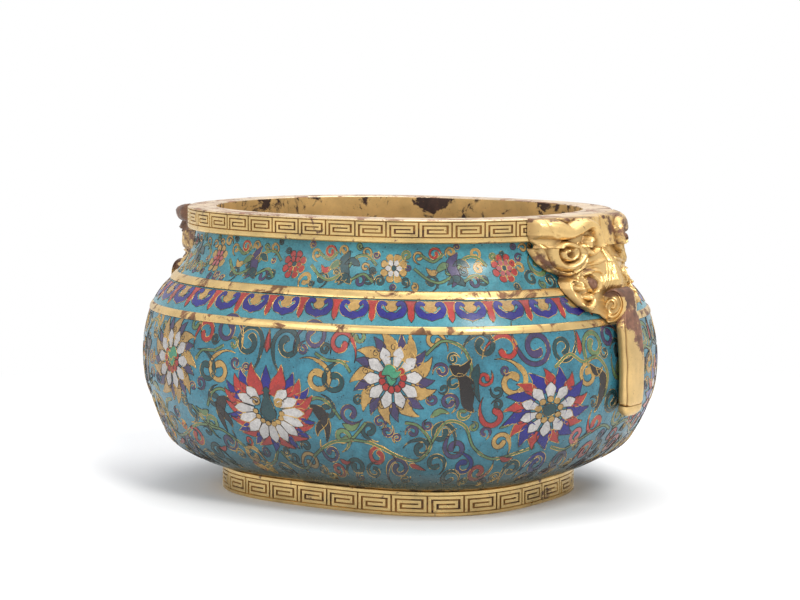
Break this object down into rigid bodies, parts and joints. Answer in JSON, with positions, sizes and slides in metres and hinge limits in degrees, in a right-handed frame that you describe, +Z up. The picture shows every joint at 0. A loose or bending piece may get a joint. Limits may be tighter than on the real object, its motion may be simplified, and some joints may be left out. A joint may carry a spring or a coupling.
{
  "type": "incense burner",
  "caption": "Oval two-handled incense burner with a gilt copper body, turquoise enamel fields with lotus scroll, gilt key-fret mouth and foot rings, and a cast beast-mask handle with a hanging trunk at each end.",
  "frame": {"origin": "centre of the foot ring's resting face", "axes": "+Z up, +X along the long axis through the two handles"},
  "size_m": [0.2282, 0.1842, 0.118],
  "materials": {
    "copper_body": "gilded copper, dull and darkened inside",
    "enamel": "turquoise glass enamel in metal cells, polished, with small pits",
    "gilt_fittings": "gilded, satin, worn to a brown purple in patches",
    "gilt_handles": "gilded casting, satin, with dark recesses"
  },
  "bodies": {
    "root": {"copper_vessel": "copper_body", "belly_enamel": "enamel", "lappet_enamel": "enamel", "neck_enamel": "enamel", "lower_fillet": "gilt_fittings", "upper_fillet": "gilt_fittings", "mouth_ring": "gilt_fittings", "foot_ring": "gilt_fittings", "base_plate": "copper_body", "right_handle_mask": "gilt_handles", "right_handle_trunk": "gilt_handles", "right_handle_trunk_cap": "gilt_handles", "right_handle_rivet_1": "gilt_handles", "right_handle_rivet_2": "gilt_handles", "right_handle_rivet_3": "gilt_handles", "left_handle_mask": "gilt_handles", "left_handle_trunk": "gilt_handles", "left_handle_trunk_cap": "gilt_handles", "left_handle_rivet_1": "gilt_handles", "left_handle_rivet_2": "gilt_handles", "left_handle_rivet_3": "gilt_handles"}
  },
  "joints": []
}
